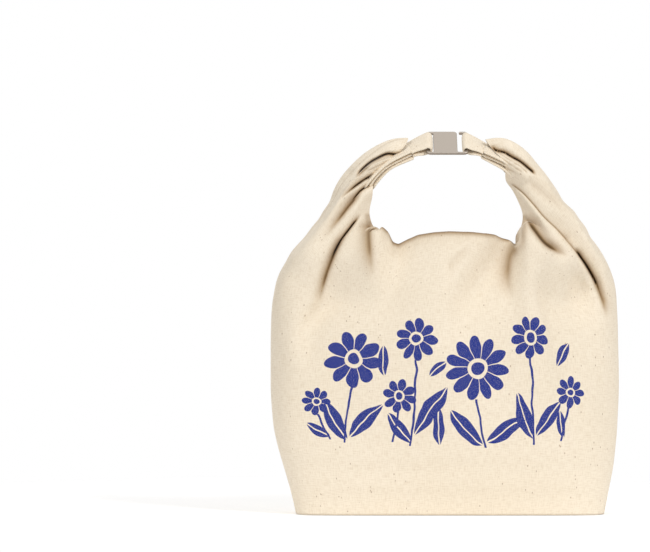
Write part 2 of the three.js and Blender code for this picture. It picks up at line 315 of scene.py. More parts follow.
def level_ring(z):
    """The sack's outline at one height, with the columns of the cloth spaced round it."""
    if z < BELLY_HEIGHT:
        swell = math.sin(z / BELLY_HEIGHT * math.pi / 2)
        wide, deep = BASE_WIDE, BASE_DEEP
    else:
        swell = math.cos(min((z - BELLY_HEIGHT) / (NECK_HEIGHT - BELLY_HEIGHT), 1) * math.pi / 2)
        wide, deep = NECK_WIDE, NECK_DEEP
    wide += (BELLY_WIDE - wide) * swell
    deep += (BELLY_DEEP - deep) * swell
    power = 2 / (2.4 + 4 * math.exp(-z / 25))     # squarest at the boxed base
    turn = np.linspace(-math.pi, math.pi, 1601)
    x = fuller(np.cos(turn), power) * wide / 2
    y = fuller(np.sin(turn), power) * deep / 2
    ring = along(np.stack([x, y], 1), column_places() / (4 * HALF))
    girth = np.hypot(np.diff(x), np.diff(y)).sum()
    return ring * (4 * HALF / girth)


# How the cloth's top edge lies on the roll, by its share of the way from the opening's
# middle to the arm's end: how far out over the roll's width, how far off its face, and
# where it is wrapped round behind it.
FRONT_OUT = [(0.28, 10.5), (0.34, 2), (0.39, -11.6), (0.7, -11.6), (0.8, -9.5), (0.92, -7), (1, 0)]
FRONT_OFF = [(0.28, 0), (0.33, 3.6), (0.38, 3.6), (0.43, -4.6), (0.7, -4.6), (0.78, 3.8), (1, 3.4)]
FRONT_WRAP = {-1: [(0, 0), (1, 0)], 1: [(0.5, 0), (0.66, 1), (0.82, 1), (0.88, 0)]}
BACK_OUT = [(0.3, 10.5), (0.6, 9.5), (1, 4)]
BACK_OFF = [(0.3, 0), (0.5, 3.4), (1, 3.4)]
BACK_WRAP = {-1: [(0.5, 0), (0.58, 1), (0.8, 1), (0.88, 0)],
             1: [(0.5, 0), (0.58, 1), (0.9, 1), (0.98, 0)]}
# The front's cloth stands up in a flap at the foot of each arm: how high, where, how broad.
FLAPS = {-1: (17, 0.42, 0.065), 1: (24, 0.48, 0.06)}


def held_edge(s, side, facing):
    """Where the cloth ends on the roll, and which way it comes off it."""
    centre, width, face = roll_frame(s, side)
    arm = at(s, [(0.3, 0), (0.6, 1)])
    if facing < 0:
        wrap = at(s, FRONT_WRAP[side])
        out, off = at(s, FRONT_OUT), at(s, FRONT_OFF)
        out += (-6 - out) * wrap
        off += (-9.5 - off) * wrap
    else:
        wrap = at(s, BACK_WRAP[side])
        out = at(s, BACK_OUT) * (1 - wrap) + 2 * wrap
        off = at(s, BACK_OFF) * (1 - wrap) - (6 + side) * wrap
    end = centre + width * out + face * off + [0, 0.8 * facing * (1 - arm), 0]
    lead = np.array([0, 0.25 * facing, 1]) * (1 - arm) + (face + [0, 0.6 * facing, -0.3]) * arm
    if facing == 0:
        lead[1] = 0
    elif facing > 0:
        lead = lead * (1 - wrap) + (width * 0.9 - face * 0.5) * wrap
    else:
        lead = lead * (1 - wrap) + (face * 0.5 - width * 0.8) * wrap
    return end, lead / np.linalg.norm(lead)


def drawn_up():
    """The cloth where it starts, and its own flat-sided shape, which its threads keep to."""
    place = column_places()
    across = np.where(place <= 2 * HALF, place / HALF - 1, 3 - place / HALF)
    front = place < 2 * HALF - 1e-6
    heights = np.linspace(0, CLOTH, ROWS)
    start = np.zeros((ROWS, COLUMNS, 3))
    own = np.zeros((ROWS, COLUMNS, 3))
    for row, z in enumerate(heights):
        own[row] = np.column_stack([level_ring(min(z, 170)), np.full(COLUMNS, z)])
        if z <= KNEE:
            start[row] = own[row]
    knee = level_ring(KNEE)
    share = (heights[heights > KNEE] - KNEE) / (CLOTH - KNEE)
    first = ROWS - len(share)
    t = np.linspace(0, 1, 120)[:, None]
    for k in range(COLUMNS):
        side = 1 if across[k] >= 0 else -1
        s = abs(across[k])
        facing = 0 if s > 1 - 1e-6 else (-1 if front[k] else 1)
        end, lead = held_edge(s, side, facing)
        height, where, broad = FLAPS[side]
        flap = height * math.exp(-((s - where) / broad) ** 2) if facing < 0 else 0
        middle = (1 + math.cos(math.pi * min(s / 0.55, 1))) / 2
        low = np.array([knee[k, 0], knee[k, 1], KNEE])
        low_pull = low + [0, 0, 26 + 38 * middle]
        high_pull = end + lead * (20 + 46 * middle) + [0, 0, flap]
        path = ((1 - t) ** 3 * low + 3 * (1 - t) ** 2 * t * low_pull
                + 3 * (1 - t) * t ** 2 * high_pull + t ** 3 * end)
        length = np.linalg.norm(np.diff(path, axis=0), axis=1).sum()
        start[first:, k] = along(path, share)
        seam = smooth(0.65, 0.9, s)
        own[first:, k, 2] = KNEE + share * ((CLOTH - KNEE) * (1 - seam) + length * seam)
    return start, own, across, front, heights


start, own, across, front, heights = drawn_up()

CREASE_REACH = 22      # how far from its line a crease is looked for

# Creases are lines over the front, in millimetres across and up. Each is a groove that
# falls steeply on its outer side (1 to the right of its run, -1 to the left), where the
# upper fold hangs over it with a lip, and rises gently on the other. Its painted shade is how
# dark its colour is painted along the groove, and it starts and ends softly over shares of its
# length.
class Crease:
    def __init__(self, points, depth, steep, gentle, outer=1, lip=0.0, lip_wide=6.0,
                 tone=0.0, tone_wide=1.0, start=0.25, end=0.3):
        self.line = through(points, 24)
        self.depth, self.outer = depth, outer
        self.steep, self.gentle = steep, gentle
        self.lip, self.lip_wide = lip, lip_wide
        self.tone, self.tone_wide = tone, tone_wide
        self.start, self.end = start, end

    def sink(self, x, z):
        """How far each point is pushed in, and how much shade is painted on it, from 0 to 1."""
        low, high = self.line.min(0) - CREASE_REACH, self.line.max(0) + CREASE_REACH
        close = (x > low[0]) & (x < high[0]) & (z > low[1]) & (z < high[1])
        pushed, painted_shade_map = np.zeros(len(x)), np.zeros(len(x))
        pushed[close], painted_shade_map[close] = self.sink_close(np.stack([x[close], z[close]], 1))
        return pushed, painted_shade_map

    def sink_close(self, flat):
        best = np.full(len(flat), 1e9)
        nearest = np.zeros(len(flat), int)
        for i, point in enumerate(self.line):
            gap = ((flat - point) ** 2).sum(1)
            closer = gap < best
            best[closer], nearest[closer] = gap[closer], i
        run = np.gradient(self.line, axis=0)[nearest]
        run /= np.linalg.norm(run, axis=1)[:, None]
        away = flat - self.line[nearest]
        beyond = np.abs((away * run).sum(1))
        aside = (away[:, 0] * run[:, 1] - away[:, 1] * run[:, 0]) * self.outer
        share = nearest / (len(self.line) - 1)
        fade = smooth(0, self.start, share) * smooth(0, self.end, 1 - share)
        fade *= np.exp(-(beyond / 3) ** 2)
        wide = np.where(aside > 0, self.steep, self.gentle)
        groove = self.depth * np.exp(-np.abs(aside / wide) ** 1.5)
        lip = self.lip * np.exp(-((aside - self.lip_wide) / self.lip_wide) ** 2)
        # The painted shade along the groove: narrow on the steep side, wider on the gentle one.
        shade_wide = np.where(aside > 0, 0.6, 1.3)
        painted_shade_map = self.tone * np.exp(-np.abs(aside / shade_wide / self.tone_wide) ** 1.5)
        return fade * (groove - lip), fade * painted_shade_map


LEFT_CREASES = [
    Crease([(-66, 208), (-72, 198), (-81, 183), (-88, 166), (-93, 144)],
           depth=5, steep=4, gentle=5, outer=-1),
    Crease([(-53, 236), (-66, 222), (-80, 205), (-95, 184)],
           depth=5, steep=4, gentle=8, outer=-1),
]
RIGHT_CREASES = [
    Crease([(66, 214), (76, 203), (92, 188), (106, 165), (114, 142)],
           depth=8, steep=5, gentle=6.5),
    Crease([(57, 216), (63, 200), (76, 188), (90, 182)],
           depth=4, steep=4, gentle=7),
    Crease([(54, 196), (50, 180), (44, 162), (46, 146)],
           depth=4, steep=6, gentle=6),
]

FINE_CREASES = [
    # the long deep fold from the left arm, its painted shade black at first and then a soft brown
    # hollow
    Crease([(-61, 214), (-69, 203.5), (-76.4, 193.5), (-81.4, 183.5), (-86, 170)],
           depth=5, steep=1.3, gentle=2.4, outer=-1, lip=1.2, lip_wide=5,
           tone=1, tone_wide=1, start=0.2, end=0.35),
    Crease([(-70, 202), (-77, 192), (-84, 176), (-89, 160), (-92, 148)],
           depth=2, steep=3, gentle=4, outer=-1,
           tone=0.68, tone_wide=2.6, start=0.3, end=0.4),
    # the two slits in the left arm below the rolled band, and the one under its outer fold
    Crease([(-47.8, 242.8), (-56.4, 239.2), (-63.5, 234.6), (-70.7, 228.8), (-78.5, 222)],
           depth=4, steep=1.1, gentle=2, outer=-1, lip=1.4, lip_wide=3.5,
           tone=1, start=0.12, end=0.5),
    Crease([(-50, 237), (-56, 233.4), (-62, 229.4), (-69, 221), (-75, 212)],
           depth=6, steep=1.4, gentle=4, outer=-1, lip=2, lip_wide=4,
           tone=1, start=0.12, end=0.5),
    Crease([(-60, 230.5), (-69, 220), (-76, 211), (-83, 202), (-90, 192)],
           depth=3, steep=2, gentle=5, outer=-1, lip=1, lip_wide=4,
           tone=0.66, tone_wide=2.4, start=0.2, end=0.6),
    Crease([(-66, 239), (-60, 246), (-55, 250.3), (-49.3, 253.6), (-42.8, 256.4), (-36, 256.2),
            (-30.7, 258.2), (-26, 263)],
           depth=4, steep=1.2, gentle=2, outer=-1, lip=2.5, lip_wide=5,
           tone=1, tone_wide=1.2, start=0.1, end=0.12),
    # the soft dimple below the left end of the opening, and a faint one in the middle
    Crease([(-55, 209), (-56, 200), (-55.5, 188), (-54.5, 176), (-53.5, 163)],
           depth=3.5, steep=3, gentle=5, outer=-1, lip=0, lip_wide=5,
           tone=0.6, tone_wide=4.2, start=0.15, end=0.55),
    Crease([(19.3, 192.8), (10.7, 186.4), (2.9, 179.2), (1.4, 173.5), (4.3, 165)],
           depth=1.8, steep=3, gentle=6, outer=1,
           tone=0.1, tone_wide=3, start=0.3, end=0.4),
    # a soft fold across the twisted cloth of the right arm
    Crease([(54, 238), (66.4, 229.2), (77.8, 220), (93.5, 207.8)],
           depth=1.6, steep=4, gentle=5, outer=1,
           tone=0.14, tone_wide=4, start=0.2, end=0.5),
    # the long fold down the right arm, thin at first, then painted black, then a soft hollow of
    # painted brown shade
    Crease([(44, 236), (52.8, 229), (61, 220), (68, 211.5), (78, 202), (88, 191)],
           depth=2, steep=1.2, gentle=3, outer=1, lip=0.8, lip_wide=3,
           tone=0.6, tone_wide=0.7, start=0.1, end=0.1),
    Crease([(75, 205), (84, 195), (92.3, 185), (98, 177), (104.5, 167), (108, 161)],
           depth=4, steep=1.4, gentle=2.6, outer=1, lip=2, lip_wide=5,
           tone=0.6, tone_wide=0.8, start=0.3, end=0.2),
    Crease([(89.5, 190), (94.6, 182.5), (99.6, 175.5), (104.6, 166.5), (109, 155.5), (111.5, 146)],
           depth=4, steep=1.5, gentle=2.8, outer=1, lip=0, lip_wide=6,
           tone=1, tone_wide=1.2, start=0.15, end=0.45),
    Crease([(101, 173), (105.5, 164), (109, 155), (111.5, 146), (112.5, 138)],
           depth=2, steep=2.5, gentle=4, outer=1,
           tone=0.62, tone_wide=2.4, start=0.35, end=0.45),
    Crease([(30, 263), (34.3, 258.8), (40.7, 257), (45, 254.3), (51.4, 250.6), (57.1, 246),
            (63.5, 240.5)],
           depth=4, steep=1.2, gentle=2, outer=1, lip=2.5, lip_wide=5,
           tone=1, tone_wide=1.2, start=0.12, end=0.1),
    # the pocket beside it, and the soft crease below the right end of the opening, whose upper
    # part is only painted shade
    Crease([(55.5, 214), (58, 207), (62.5, 200), (69, 192), (78, 186.5), (87, 183.5)],
           depth=6, steep=1.8, gentle=5, outer=1, lip=2, lip_wide=5,
           tone=0.75, tone_wide=3, start=0.3, end=0.35),
    Crease([(55, 214), (54.5, 206), (52.5, 197), (49.5, 188), (46.5, 180)],
           depth=0, steep=1, gentle=1, outer=-1,
           tone=0.34, tone_wide=5, start=0.1, end=0.5),
    Crease([(52, 196), (48, 188), (44.5, 181), (42.5, 172), (42.5, 162), (45.5, 150)],
           depth=4.5, steep=2.5, gentle=6, outer=-1, lip=0, lip_wide=5,
           tone=0.52, tone_wide=4, start=0.25, end=0.45),
]

# The edges of the cloth's layers show as thin grooves with painted shade under the two outer
# folds: each with the side it falls to, how dark its painted shade is and how softly it ends.
LAYER_EDGES = [
    ([(-62, 243.5), (-51.4, 250), (-39.3, 255), (-30, 259.2)], -1, 0.3, 0.1),
    ([(-58, 243.5), (-48, 248.5), (-36.4, 253.5), (-28.6, 257.8)], -1, 0.34, 0.1),
    ([(-54, 243.3), (-45, 247.2), (-37, 250.5)], -1, 0.3, 0.2),
    ([(30, 261.3), (41.4, 253.5), (51.4, 247), (57.1, 242)], 1, 0.34, 0.1),
    ([(27.9, 259.2), (37.8, 252.8), (47.8, 246.3), (53.6, 242)], 1, 0.34, 0.1),
    ([(32, 252), (41.4, 246.3), (50, 241)], 1, 0.3, 0.2),
]
FINE_CREASES += [
    Crease(points, depth=0.7, steep=0.7, gentle=1.4, outer=outer, lip=0.4, lip_wide=2,
           tone=tone, tone_wide=0.6, start=ends, end=ends)
    for points, outer, tone, ends in LAYER_EDGES]


# The canvas as the solver has it. It works best on cloth of some metres, so all is made
# ten times as large for it.
LARGE = 10
SETTLE_FRAMES = 20
CANVAS = {
    "quality": 6, "mass": 0.3, "tension_stiffness": 30, "compression_stiffness": 30,
    "shear_stiffness": 12, "bending_stiffness": 10, "bending_damping": 0.5,
    "tension_damping": 5, "compression_damping": 5, "shear_damping": 5, "air_damping": 2,
    "vertex_group_mass": "hold", "pin_stiffness": 1,
    "use_pressure": True, "uniform_pressure_force": 1,
}
TOUCH = {
    "distance_min": 0.01, "use_self_collision": True, "self_distance_min": 0.02,
    "collision_quality": 3, "use_collision": True,
}


def settle(vertices, own_shape, faces, hold):
    """The canvas eased from where it is held to its own lengths, so what is spare folds up."""
    cloth = new_object("cloth", vertices * LARGE * MM, faces)
    cloth.shape_key_add(name="Basis")
    key = cloth.shape_key_add(name="own")
    key.data.foreach_set("co", (own_shape * LARGE * MM).ravel())
    group = cloth.vertex_groups.new(name="hold")
    for weight in np.unique(hold):
        group.add([int(i) for i in np.flatnonzero(hold == weight)], float(weight), "REPLACE")
    bpy.context.view_layer.update()
    solver = cloth.modifiers.new("solver", "CLOTH")
    for setting, value in CANVAS.items():
        setattr(solver.settings, setting, value)
    solver.settings.effector_weights.gravity = 0
    solver.settings.rest_shape_key = key
    for setting, value in TOUCH.items():
        setattr(solver.collision_settings, setting, value)
    solver.point_cache.frame_end = SETTLE_FRAMES + 2
    scene.frame_end = SETTLE_FRAMES + 2
    roll = new_object("roll_held", roll_points * LARGE * MM, roll_faces)
    lunch = new_object("lunch_held", lunch_points * LARGE * MM, lunch_faces)
    for stop in (roll, lunch):
        stop.modifiers.new("stop", "COLLISION")
        stop.collision.thickness_outer = 0.01
        stop.collision.cloth_friction = 5
    for frame_number in range(1, SETTLE_FRAMES + 1):
        scene.frame_set(frame_number)
    result = cloth.evaluated_get(bpy.context.evaluated_depsgraph_get()).to_mesh()
    found = np.zeros(len(result.vertices) * 3)
    result.vertices.foreach_get("co", found)
    mesh = cloth.data
    for helper in (cloth, roll, lunch):
        bpy.data.objects.remove(helper)
    bpy.data.meshes.remove(mesh)
    scene.frame_set(1)
    return found.reshape(-1, 3) / (LARGE * MM)


def tube_faces(rows, count):
    """The faces between rings of points, each ring closed on itself."""
    return [(i * count + j, i * count + (j + 1) % count,
             (i + 1) * count + (j + 1) % count, (i + 1) * count + j)
            for i in range(rows - 1) for j in range(count)]


def base_grid(ring):
    """The base panel's points between the four edges that it is sewn to."""
    half = ROUND // 2
    near = [half + i for i in range(ACROSS + 1)]
    right = [half + ACROSS + j for j in range(ROUND + 1)]
    far = [(half + ACROSS + ROUND + ACROSS - i) % COLUMNS for i in range(ACROSS + 1)]
    left = [(half - j) % COLUMNS for j in range(ROUND + 1)]
    number = np.zeros((ROUND + 1, ACROSS + 1), int)
    number[0], number[-1], number[:, 0], number[:, -1] = near, far, left, right
    inner = []
    for j in range(1, ROUND):
        for i in range(1, ACROSS):
            a, b = i / ACROSS, j / ROUND
            corners = ((1 - a) * (1 - b) * ring[near[0]] + a * (1 - b) * ring[near[-1]]
                       + (1 - a) * b * ring[far[0]] + a * b * ring[far[-1]])
            inner.append((1 - b) * ring[near[i]] + b * ring[far[i]]
                         + (1 - a) * ring[left[j]] + a * ring[right[j]] - corners)
            number[j, i] = ROWS * COLUMNS + len(inner) - 1
    return np.array(inner), number


def front_share(points):
    """How far a point belongs to the front: 1 well in front of the seams, 0 behind them."""
    return 1 - smooth(-14, 0, points[:, 1])


# The gathers start the folds that the cloth settles into. The back has them too, mirrored
# and a little shallower.
BACK_DEPTH = 0.8
body_start = start.reshape(-1, 3).copy()
for crease in LEFT_CREASES + RIGHT_CREASES:
    pushed, _ = crease.sink(body_start[:, 0], body_start[:, 2])
    body_start[:, 1] += pushed * front_share(body_start)
    pushed, _ = crease.sink(-body_start[:, 0], body_start[:, 2])
    body_start[:, 1] -= BACK_DEPTH * pushed * front_share(body_start * [1, -1, 1])

# What the cloth lies against at its top: the roll, as one closed form.
HELD_HALF_THICK = 3.2
HELD_SIDES, HELD_RINGS = 16, 81
turn = np.linspace(0, 2 * math.pi, HELD_SIDES, endpoint=False)
rounded = np.stack([fuller(np.cos(turn), 0.5) * ROLL_WIDE / 2,
                    fuller(np.sin(turn), 0.5) * HELD_HALF_THICK], 1)
rings = []
for share in np.linspace(-1, 1, HELD_RINGS):
    centre, width, face = roll_frame(abs(share), 1 if share >= 0 else -1)
    rings.append(centre + rounded[:, :1] * width + rounded[:, 1:] * face)
roll_points = np.array(rings).reshape(-1, 3)
roll_faces = tube_faces(HELD_RINGS, HELD_SIDES)

# What the sack holds: a soft load that keeps its belly out, and its sides above the base.
LOAD_WIDE, LOAD_DEEP, LOAD_LOW, LOAD_HIGH = 108.0, 42.0, 3.0, 158.0
LOAD_SIDES, LOAD_RINGS = 48, 25
lunch_points = []
for j in range(LOAD_RINGS):
    up = -math.pi / 2 + math.pi * j / (LOAD_RINGS - 1)
    ring_share = max(math.cos(up), 0.02) ** 0.55
    z = (LOAD_LOW + LOAD_HIGH) / 2 + fuller(math.sin(up), 0.6) * (LOAD_HIGH - LOAD_LOW) / 2
    for i in range(LOAD_SIDES):
        a = 2 * math.pi * i / LOAD_SIDES
        lunch_points.append((fuller(math.cos(a), 0.7) * LOAD_WIDE * ring_share,
                             fuller(math.sin(a), 0.7) * LOAD_DEEP * ring_share, z))
lunch_points = np.array(lunch_points)
lunch_faces = tube_faces(LOAD_RINGS, LOAD_SIDES)
lunch_faces += [range(LOAD_SIDES)[::-1],
                range((LOAD_RINGS - 1) * LOAD_SIDES, LOAD_RINGS * LOAD_SIDES)]

# How far the sack reaches to the left and to the right at each height.
LEFT_REACH = [
    (0, 107), (16, 110.5), (32, 115), (50, 120.5), (65, 124), (90, 126), (125, 126),
    (144, 125.3), (165, 121.5), (175, 117), (185, 110), (195, 102), (205.6, 94), (213.5, 89),
    (223.5, 84), (235, 81), (243, 73)]
RIGHT_REACH = [
    (0, 110.5), (11, 113), (22, 115.5), (39, 119), (62, 121.4), (91, 122.8), (131, 122.2),
    (154, 121), (165, 119.5), (171, 117.5), (176, 114), (182, 111), (188, 107.5),
    (199, 101.5), (211, 93), (222, 84), (235, 75), (243, 70)]


def widest_near(reach, levels, window):
    return np.max([at(levels + step, reach) for step in (-window, 0, window)], axis=0)


def keep_outline(p):
    """The cloth's sides eased out or in to the outline, and nothing moved near the opening."""
    for side, reach in ((-1, LEFT_REACH), (1, RIGHT_REACH)):
        x, z = p[:, 0] * side, p[:, 2]
        levels = np.arange(0, 249, 4.0)
        widest = np.array([x[np.abs(z - level) < 4].max() for level in levels])
        wanted = widest_near(reach, levels, 4)
        widest_here = np.interp(z, levels, widest)
        change = np.interp(z, levels, wanted - widest)
        inner = at(z, [(150, 40), (200, 62), (220, 68), (240, 62)])
        share = smooth(0, 1, (x - inner) / np.maximum(widest_here - inner, 1))
        p[:, 0] += side * change * share * (1 - smooth(222, 246, z))


# The same for the gathered cloth outside the roll, as angles and distances from the
# opening's middle.
LEFT_BUNDLE = [(4, 85), (8, 84.8), (15.9, 84.2), (23.4, 79.8), (37.6, 73.8), (50.4, 69.6),
               (59, 65.1), (65, 60.7)]
RIGHT_BUNDLE = [(8.9, 83.8), (15.4, 78.5), (24.7, 75.9), (31, 77), (39.9, 76.5), (48.4, 70.4),
                (58.9, 63.4), (66, 57.9)]


def evened(change):
    """A row of changes with each one drawn towards its neighbours."""
    return np.convolve(np.pad(change, 1, "edge"), [0.25, 0.5, 0.25], "valid")


def keep_bundle(p):
    """The arms' outer sides eased out or in to the outline, the roll's own edge kept."""
    for side, reach in ((-1, LEFT_BUNDLE), (1, RIGHT_BUNDLE)):
        x, z = p[:, 0] * side, p[:, 2] - SPRING
        angle, away = np.degrees(np.arctan2(z, x)), np.hypot(x, z)
        turn = np.radians(angle)
        roll_at = 1 / np.hypot(np.cos(turn) / REACH, np.sin(turn) / RISE) + 1
        levels = np.arange(4, 58, 3.0)
        widest = np.array([away[(np.abs(angle - level) < 3) & (x > 0)].max()
                           for level in levels])
        widest_here = np.interp(angle, levels, widest)
        change = np.interp(angle, levels, evened(widest_near(reach, levels, 3) - widest))
        share = np.clip((away - roll_at) / np.maximum(widest_here - roll_at, 1), 0, 1) * (x > 0)
        longer = away + change * share * smooth(2, 12, angle)
        turned = turn + np.radians(8) * share * smooth(42, 60, angle)
        moved = (x > 0) & (angle > 4) & (angle < 80)
        p[:, 0] = np.where(moved, side * longer * np.cos(turned), p[:, 0])
        p[:, 2] = np.where(moved, SPRING + longer * np.sin(turned), p[:, 2])


def keep_depth(p):
    """The belly eased to the depth of a full bag, in front and behind."""
    levels = np.arange(0, 161, 5.0)
    low = levels < BELLY_HEIGHT
    above = (levels - BELLY_HEIGHT) / (NECK_HEIGHT - BELLY_HEIGHT)
    swell = np.where(low, np.sin(np.minimum(levels, BELLY_HEIGHT) / BELLY_HEIGHT * np.pi / 2),
                     np.cos(above * np.pi / 2))
    ends = np.where(low, BASE_DEEP, NECK_DEEP)
    wanted = (ends + (BELLY_DEEP - ends) * swell) / 2 + 1.5
    for side in (-1, 1):
        y = p[:, 1] * side
        deepest = np.array([y[np.abs(p[:, 2] - level) < 6].max() for level in levels])
        scale = np.interp(p[:, 2], levels, np.minimum(wanted / deepest, 1))
        p[:, 1] = np.where(y > 0, p[:, 1] * scale, p[:, 1])


# The sack is held fast round its base and along its top edge, and lightly elsewhere.
LIGHT_HOLD = 0.08
inner, base_number = base_grid(start[0])
own_inner, _ = base_grid(own[0])
points = np.vstack([body_start, inner])
own_points = np.vstack([own.reshape(-1, 3), own_inner])
faces = tube_faces(ROWS, COLUMNS)
faces += [(base_number[j, i], base_number[j + 1, i],
           base_number[j + 1, i + 1], base_number[j, i + 1])
          for j in range(ROUND) for i in range(ACROSS)]
hold = np.full(len(points), LIGHT_HOLD)
reach_out = smooth(0.55, 0.75, np.abs(across))[None, :] * smooth(185, 215, start[:, :, 2])
hold[:ROWS * COLUMNS] = np.round(LIGHT_HOLD + 0.06 * reach_out.ravel(), 2)
hold[:COLUMNS] = 1
hold[(ROWS - 1) * COLUMNS:] = 1
settled = settle(points, own_points, faces, hold)

# Where the gathers are fullest, and at the corners of the opening, the cloth keeps close to
# how it was gathered, and the sides of the arms are evened out.
aside = np.append(np.tile(np.abs(across), ROWS), np.zeros(len(inner)))
height = points[:, 2]
full = np.maximum(smooth(196, 226, height) * smooth(0.5, 0.65, aside),
                  smooth(40, 110, height) * smooth(0.66, 0.86, aside))
corner = smooth(140, 190, height) * smooth(0.28, 0.38, aside)
settled += (points - settled) * np.maximum(0.85 * full, 0.96 * corner)[:, None]
grid = settled[:ROWS * COLUMNS].reshape(ROWS, COLUMNS, 3)
for _ in range(2):
    about = grid[:-2] + grid[2:] + np.roll(grid, 1, 1)[1:-1] + np.roll(grid, -1, 1)[1:-1]
    ease = 0.5 * smooth(0.5, 0.62, np.abs(across))[None, :] * smooth(185, 205, grid[1:-1, :, 2])
    grid[1:-1] += (about / 4 - grid[1:-1]) * ease[:, :, None]
keep_outline(settled)
keep_bundle(settled)
keep_depth(settled)
settled[:, 2] = np.maximum(settled[:, 2], 0.4)

# Each point of the cloth knows where it lies on the flat canvas, in metres: the front from
# the middle of its foot, the back a metre lower and the base two metres lower.
canvas = new_object("canvas_body", settled * MM, faces)
pattern = canvas.data.uv_layers.new(name="cloth")
column_at = np.append(column_places(), 4 * HALF)
uv = []
for r in range(ROWS - 1):
    for k in range(COLUMNS):
        for row, column in ((r, k), (r, k + 1), (r + 1, k + 1), (r + 1, k)):
            place = column_at[column]
            if front[k]:
                uv += [(place - HALF) * MM, heights[row] * MM]
            else:
                uv += [(3 * HALF - place) * MM, heights[row] * MM - 1]
for j in range(ROUND):
    for i in range(ACROSS):
        for a, b in ((i, j), (i, j + 1), (i + 1, j + 1), (i + 1, j)):
            uv += [(a / ACROSS - 0.5) * BASE_WIDE * MM,
                   (b / ROUND - 0.5) * BASE_DEEP * MM - 2]
pattern.data.foreach_set("uv", uv)
sharp = canvas.data.attributes.new("crease_edge", "FLOAT", "EDGE")
edge_keys = {tuple(sorted(e.vertices)): e.index for e in canvas.data.edges}
for k in range(COLUMNS):
    sharp.data[edge_keys[tuple(sorted((k, (k + 1) % COLUMNS)))]].value = 0.8

finer = canvas.modifiers.new("finer", "SUBSURF")
finer.levels = finer.render_levels = 3
finer.boundary_smooth = "PRESERVE_CORNERS"
evaluated = canvas.evaluated_get(bpy.context.evaluated_depsgraph_get())
dense = bpy.data.meshes.new_from_object(evaluated)
canvas.modifiers.clear()
canvas.data = dense

# The fine folds are sunk into the front of the settled cloth, and the shade painted in them is
# gathered.
shape = np.zeros(len(dense.vertices) * 3)
dense.vertices.foreach_get("co", shape)
shape = shape.reshape(-1, 3) / MM
looks = np.zeros(len(dense.vertices) * 3)
dense.vertex_normals.foreach_get("vector", looks)
looks = looks.reshape(-1, 3)
facing_us = smooth(0.02, 0.4, -looks[:, 1])
sunk, painted_shade_map = np.zeros(len(shape)), np.zeros(len(shape))
for crease in FINE_CREASES:
    # Each crease gives how far it pushes in, and how much shade it paints.
    pushed, deep = crease.sink(shape[:, 0], shape[:, 2])
    sunk += pushed * facing_us
    painted_shade_map = np.maximum(painted_shade_map, deep * facing_us)
shape[:, 1] += sunk

# The top edge of the panels between the arms, as the front shows it. The back one is a
# little lower. Each has shade painted along it where its hem turns in.
RIM = [(-54, 207), (-50, 205), (-46, 204.3), (-44, 202.2), (-42, 200.8), (-39, 193.5),
       (-35, 192), (-28, 195.5), (-21, 198.6), (-10, 200.3), (1, 201), (18, 200.5), (34, 199),
       (39, 196.5), (43, 195.4), (47, 196.5), (51, 199)]
BACK_LOWER = 1.5
levels = np.arange(-52, 50.5, 1.0)
for facing in (-1, 1):
    near = (shape[:, 1] * facing > 0.5) & (shape[:, 2] < 214) & (shape[:, 2] > 170)
    highest = np.array([shape[near & (np.abs(shape[:, 0] - level) < 0.8), 2].max()
                        for level in levels])
    change = at(levels, RIM) - highest - (BACK_LOWER if facing > 0 else 0)
    change = evened(np.where(levels < -44, np.maximum(change, -0.5), change))
    lifted = np.interp(shape[:, 0], levels, change)
    lifted *= smooth(-53.5, -50, shape[:, 0]) * (1 - smooth(43, 50, shape[:, 0]))
    lifted *= smooth(172, 192, shape[:, 2]) * (1 - smooth(206, 214, shape[:, 2]))
    lifted *= smooth(0, 3, shape[:, 1] * facing)
    shape[:, 2] += lifted
    below = at(shape[:, 0], RIM) - shape[:, 2]
    # Painted shade: dark just under the top edge and fainter further down.
    painted_rim_shade = 0.5 * np.exp(-(below / 2.4) ** 2) + 0.1 * np.exp(-(below / 8) ** 2)
    painted_rim_shade *= smooth(-50, -46, shape[:, 0]) * (1 - smooth(47, 53, shape[:, 0]))
    painted_shade_map = np.where(shape[:, 1] * facing > 0, np.maximum(painted_shade_map, painted_rim_shade), painted_shade_map)

# At its left end the front's top edge runs into the arm: shade is painted on the cloth behind
# it, and a painted dark line carries the edge on.
painted_shade_behind = smooth(-60, -57, shape[:, 0]) * (1 - smooth(-47, -44, shape[:, 0]))
painted_shade_behind *= (shape[:, 1] < 0) * (1 - smooth(212, 215, shape[:, 2]))
painted_shade_map = np.maximum(painted_shade_map, 0.3 * painted_shade_behind * smooth(202.5, 204, shape[:, 2]))
painted_rim_line = Crease([(-56.5, 199), (-55, 200.8), (-53.9, 201.9), (-52.1, 202.5), (-50, 203.2),
                  (-48, 203.6)],
                 depth=0, steep=1, gentle=1, tone=0.75, tone_wide=1, start=0.2, end=0.5)
# The painted dark line, kept to the front.
_, drawn = painted_rim_line.sink(shape[:, 0], shape[:, 2])
painted_shade_map = np.maximum(painted_shade_map, drawn * (shape[:, 1] < 0))
# The painted shade is stored on the cloth as its fold attribute.
dense.attributes.new("fold", "FLOAT", "POINT").data.foreach_set("value", painted_shade_map)
dense.vertices.foreach_set("co", (shape * MM).ravel())
dense.update()

# The canvas itself: a plain weave with a thread every 0.62 mm, its yarns uneven, with
# slubs and brown seed flecks, clouded a little warmer and paler. The side seams and the
# base seams are valleys where two edges of the cloth turn in.
THREAD = 0.00062
YARN_LONG, YARN_FINE = 190, 1500


def linear(red, green, blue):
    """A colour as it is seen on a screen, from 0 to 255, turned into light."""
    parts = [part / 255 for part in (red, green, blue)]
    return tuple(part / 12.92 if part <= 0.04045 else ((part + 0.055) / 1.055) ** 2.4
                 for part in parts) + (1,)


